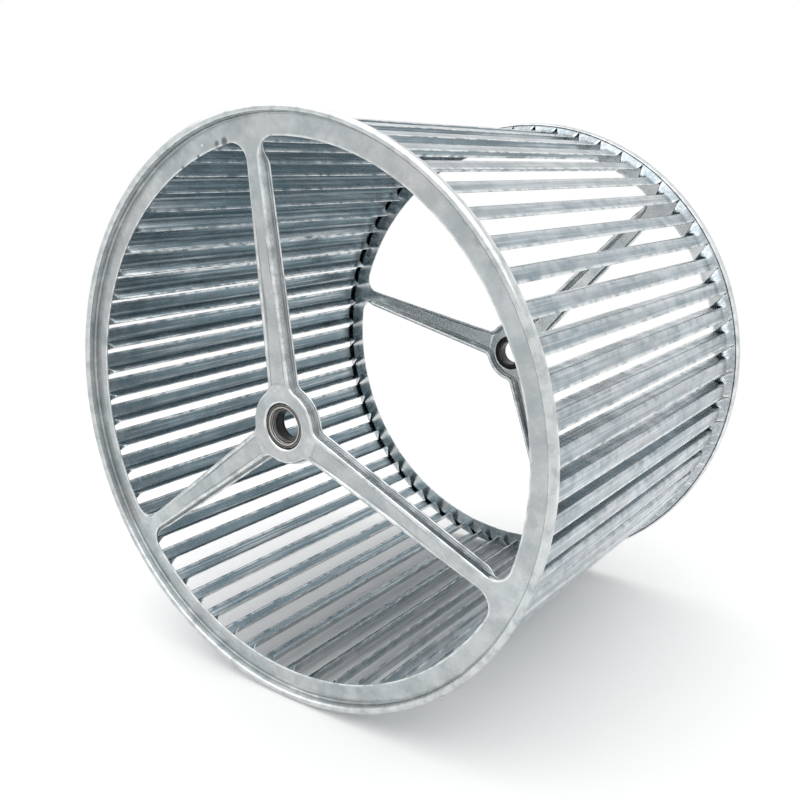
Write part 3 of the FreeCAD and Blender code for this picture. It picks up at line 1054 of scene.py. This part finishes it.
def galvanised(name, colours, streak_scale, streaking, waviness, inside=0.0, marks=()):
    """Zinc-coated sheet: soft cloudy tones, fine grain, rolling streaks, stains, bright edges of wear
    and painted highlight, painted shade in creases and, where asked, on faces inside the wheel.
    """
    material = bpy.data.materials.new(name)
    tree = node_tree(material)
    place = own_place(tree)
    deep, pale, tint = colours
    clouds = eased(tree, noise(tree, place, *CLOUDS), *CLOUD_RANGE)
    patches = eased(tree, noise(tree, place, *PATCHES), *PATCH_RANGE)
    grain = noise(tree, place, *GRAIN)
    drawn_out = vector_maths(tree, "MULTIPLY", "Vector", place, streak_scale)
    streaks = noise(tree, drawn_out, *STREAKS)
    blots = eased(tree, noise(tree, place, *BLOTS), *BLOT_RANGE)
    # bent edges: wear and painted highlight; creases: painted shade
    wear_and_highlight = broken(tree, place, "wear_and_highlight", WEAR_BREAKS, WEAR_RANGE)
    crease = broken(tree, place, "crease", CREASE_BREAKS, CREASE_RANGE)

    colour = blended(tree, clouds, deep, pale)
    colour = covered(tree, colour, patches, PATCH_SHARE, tint)
    # painted shade on the faces that look towards the axis, inside the wheel
    if inside:
        colour = covered(tree, colour, facing_axis(tree, place), inside, INSIDE_SHADE_COLOUR)
    dark_streaks = eased(tree, streaks, *DARK_STREAK_RANGE, 0.0, DARK_STREAK_SHARE * streaking)
    colour = blended(tree, dark_streaks, colour, STREAK_COLOUR)
    pale_streaks = eased(tree, streaks, *PALE_STREAK_RANGE, 0.0, PALE_STREAK_SHARE * streaking)
    colour = blended(tree, pale_streaks, colour, WORN_AND_HIGHLIGHT_COLOUR)
    colour = blended(tree, eased(tree, grain, *GRAIN_RANGE, GRAIN_SHARE, 0.0), colour, STAIN_COLOUR)
    colour = covered(tree, colour, blots, BLOT_SHARE, STAIN_COLOUR)
    # painted shade in the creases
    colour = covered(tree, colour, crease, CREASE_SHADE_SHARE, CREASE_AND_DENT_SHADE)
    # wear and painted highlight on the outward-bent edges
    colour = covered(tree, colour, wear_and_highlight, WEAR_AND_HIGHLIGHT_SHARE, WORN_AND_HIGHLIGHT_COLOUR)
    colour = marked(tree, place, colour, marks)

    roughness = eased(tree, clouds, 0.0, 1.0, *SHEET_ROUGHNESS)
    streak_roughness = eased(tree, streaks, *STREAK_ROUGHNESS_RANGE, *STREAK_ROUGHNESS)
    roughness = maths(tree, "ADD", roughness, streak_roughness)
    roughness = maths(tree, "ADD", roughness, maths(tree, "MULTIPLY", blots, BLOT_ROUGHNESS))
    roughness = maths(tree, "SUBTRACT", roughness, maths(tree, "MULTIPLY", wear_and_highlight, WEAR_POLISH))
    normal = bumped(tree, noise(tree, place, *WAVES), WAVE_DEPTH, waviness)
    normal = bumped(tree, streaks, STREAK_DEPTH, STREAK_BUMP, normal)
    normal = bumped(tree, grain, GRAIN_DEPTH, GRAIN_BUMP, normal)
    metal_shader(tree, colour, roughness, normal, 1.0)
    return material


def front_plate_steel():
    colours = (PLATE_DEEP, PLATE_PALE, PLATE_TINT)
    return galvanised("galvanised_plate", colours, PLATE_STREAKS, PLATE_STREAKING, PLATE_WAVINESS,
                      marks=PLATE_MARKS)


def rear_plate_steel():
    # a lightened copy of the plate's colours: painted light on the rear plate
    colours = [tuple(REAR_PLATE_PAINTED_LIGHT * part for part in shade)
               for shade in (PLATE_DEEP, PLATE_PALE, PLATE_TINT)]
    return galvanised("galvanised_rear_plate_painted_light", colours, PLATE_STREAKS, PLATE_STREAKING,
                      PLATE_WAVINESS)


def strip_steel():
    colours = (STRIP_DEEP, STRIP_PALE, STRIP_TINT)
    return galvanised("galvanised_strip", colours, STRIP_STREAKS, STRIP_STREAKING, STRIP_WAVINESS,
                      inside=STRIP_INSIDE_SHADE)


def turning_lines(tree, radius, height):
    """Fine rings that the lathe leaves, on the flat faces and along the bore."""
    node = tree.nodes.new("ShaderNodeTexNoise")
    node.noise_dimensions = "1D"
    along = maths(tree, "ADD", radius, height)
    put(tree, node.inputs["W"], maths(tree, "MULTIPLY", along, TURNING_SCALE))
    put(tree, node.inputs["Scale"], 1.0)
    return node.outputs["Fac"]


def bush_steel():
    """The bush: rings of tone, painted shade and painted highlight from the bore outwards, with
    turning lines and an inner end blackened as painted shade.
    """
    material = bpy.data.materials.new("turned_steel")
    tree = node_tree(material)
    place = own_place(tree)
    radius = vector_maths(tree, "LENGTH", "Value", from_axis(tree, place))
    height = vector_maths(tree, "DOT_PRODUCT", "Value", place, (0.0, 0.0, 1.0))
    uneven = maths(tree, "MULTIPLY", noise(tree, place, *RING_EDGES), RING_UNEVEN)
    ring = maths(tree, "ADD", radius, uneven)
    grease = eased(tree, noise(tree, place, *GREASE), *GREASE_RANGE)
    turning = turning_lines(tree, radius, height)

    # near-black bore and recess as painted shade, a pale ring at the recess's edge as painted
    # highlight
    colour = BORE_SHADE
    for start, shade in BUSH_LIGHT_AND_SHADE_RINGS:
        share = eased(tree, ring, (start + RING_FADE[0]) * MM, (start + RING_FADE[1]) * MM)
        colour = blended(tree, share, colour, shade)
    bright_lines = eased(tree, turning, *TURNING_RANGE, 0.0, TURNING_SHARE)
    colour = blended(tree, bright_lines, colour, BUSH_BRIGHT)
    colour = covered(tree, colour, grease, GREASE_SHARE, GREASE_COLOUR)
    # the end towards the wheel's middle blackened as painted shade
    from_middle = maths(tree, "ABSOLUTE", maths(tree, "SUBTRACT", height, BUSH_MIDDLE))
    inner_end = eased(tree, from_middle, BUSH_INNER_END, BUSH_INNER_END + BUSH_END_FADE,
                      INNER_END_SHADE_SHARE, 0.0)
    colour = blended(tree, inner_end, colour, INNER_END_SHADE)
    # bright edges: wear and painted highlight
    wear_and_highlight = broken(tree, place, "wear_and_highlight", BUSH_WEAR_BREAKS, BUSH_WEAR_RANGE)
    colour = covered(tree, colour, wear_and_highlight, BUSH_WEAR_AND_HIGHLIGHT_SHARE, BUSH_BRIGHT)
    roughness = eased(tree, grease, 0.0, 1.0, *BUSH_ROUGHNESS)
    normal = bumped(tree, turning, TURNING_DEPTH, TURNING_BUMP)
    metal_shader(tree, colour, roughness, normal, BUSH_METALLIC)
    return material


# Stage


def add_camera():
    data = bpy.data.cameras.new("camera")
    data.lens = CAMERA_LENS
    data.sensor_width = CAMERA_SENSOR
    data.shift_x, data.shift_y = CAMERA_SHIFT
    camera = add_object("camera", data)
    aim = (CAMERA_AIM - CAMERA_PLACE).to_track_quat("-Z", "Y")
    roll = Quaternion((0.0, 0.0, 1.0), -math.radians(CAMERA_ROLL))
    camera.rotation_mode = "QUATERNION"
    camera.rotation_quaternion = aim @ roll
    camera.location = CAMERA_PLACE
    bpy.context.scene.camera = camera


def stage_axes():
    """The photographer's right, up and forward, with up square to the floor."""
    up = -Vector((*direction(FLOOR_TURN), 0.0))
    forward = CAMERA_AIM - CAMERA_PLACE
    forward = (forward - up * forward.dot(up)).normalized()
    return forward.cross(up), up, forward


def stage_point(right, above, forward):
    """A place given from the wheel's middle, in metres along the photographer's axes."""
    low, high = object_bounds()
    axes = stage_axes()
    return (low + high) / 2 + axes[0] * right + axes[1] * above + axes[2] * forward


def seen_ray(tree):
    """1 for rays from the camera and for those that metal or glass mirrors or lets through."""
    path = tree.nodes.new("ShaderNodeLightPath").outputs
    mirrored = maths(tree, "MAXIMUM", path["Is Glossy Ray"], path["Is Transmission Ray"])
    return maths(tree, "MAXIMUM", path["Is Camera Ray"], mirrored)


def grey(shade):
    return (shade, shade, shade)


def floor_material():
    """Pale and matt near the wheel, white far off, and clear from below."""
    material = bpy.data.materials.new("floor")
    tree = node_tree(material)
    seen = seen_ray(tree)
    near = tree.nodes.new("ShaderNodeBsdfDiffuse")
    put(tree, near.inputs["Color"], blended(tree, seen, grey(FLOOR_COLOUR), grey(FLOOR_SEEN)))
    white = tree.nodes.new("ShaderNodeEmission")
    clear = tree.nodes.new("ShaderNodeBsdfTransparent")
    away = vector_maths(tree, "LENGTH", "Value", own_place(tree))
    fade = maths(tree, "MULTIPLY", seen, eased(tree, away, *FLOOR_FADE))
    surface = mixed(tree, fade, near.outputs["BSDF"], white.outputs["Emission"])
    underside = tree.nodes.new("ShaderNodeNewGeometry").outputs["Backfacing"]
    surface = mixed(tree, underside, surface, clear.outputs["BSDF"])
    output = tree.nodes.new("ShaderNodeOutputMaterial")
    tree.links.new(surface, output.inputs["Surface"])
    return material


def add_floor():
    low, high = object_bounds()
    drop = (high.x - low.x) / 2 + FLOOR_GAP
    half = FLOOR_SIZE / 2
    ring = [(-half, -half), (half, -half), (half, half), (-half, half)]
    corners = [stage_point(right, -drop, forward) for right, forward in ring]
    mesh = bpy.data.meshes.new("floor")
    mesh.from_pydata(corners, [], [tuple(range(len(corners)))])
    mesh.materials.append(floor_material())
    if mesh.polygons[0].normal.dot(stage_axes()[1]) < 0:
        mesh.flip_normals()
    sheet = add_object("floor", mesh)
    sheet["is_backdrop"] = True


def add_light(name, place, size, power):
    """A lamp that looks at the wheel's middle."""
    data = bpy.data.lights.new(name, "AREA")
    data.energy = power
    data.shape = "RECTANGLE"
    data.size, data.size_y = size
    lamp = add_object(name, data)
    lamp.location = stage_point(*place)
    aim = stage_point(0.0, 0.0, 0.0) - lamp.location
    lamp.rotation_mode = "QUATERNION"
    lamp.rotation_quaternion = aim.to_track_quat("-Z", "Y")


def add_world():
    """White where it is seen or mirrored, and a soft light on what is matt."""
    world = bpy.data.worlds.new("world")
    bpy.context.scene.world = world
    tree = node_tree(world)
    room = tree.nodes.new("ShaderNodeBackground")
    put(tree, room.inputs["Color"], blended(tree, seen_ray(tree), grey(ROOM_LIGHT), grey(1.0)))
    output = tree.nodes.new("ShaderNodeOutputWorld")
    tree.links.new(room.outputs["Background"], output.inputs["Surface"])


front_steel = front_plate_steel()
blade_steel = strip_steel()
rear_steel = rear_plate_steel()
turned_steel = bush_steel()

plate = plate_mesh()
bush = bush_mesh()
front = (0.0, RIM_HEIGHT + PLATE_SPACING, False)
rear = (REAR_TURN, RIM_HEIGHT, True)
pieces = [
    ("front_end_plate", placed(dented(plate), *front), front_steel, "end_plate"),
    ("rear_end_plate", placed(plate, *rear), rear_steel, "end_plate"),
    ("front_hub_bush", placed(bush, *front), turned_steel, "hub_bush"),
    ("rear_hub_bush", placed(bush, *rear), turned_steel, "hub_bush"),
    ("blade_strip", strip_mesh(), blade_steel, "blade_strip"),
]
for piece in pieces:
    make_piece(*piece)

add_camera()
add_world()
add_floor()
for lamp in LAMPS:
    add_light(*lamp)

bpy.context.scene.view_settings.view_transform = "Standard"
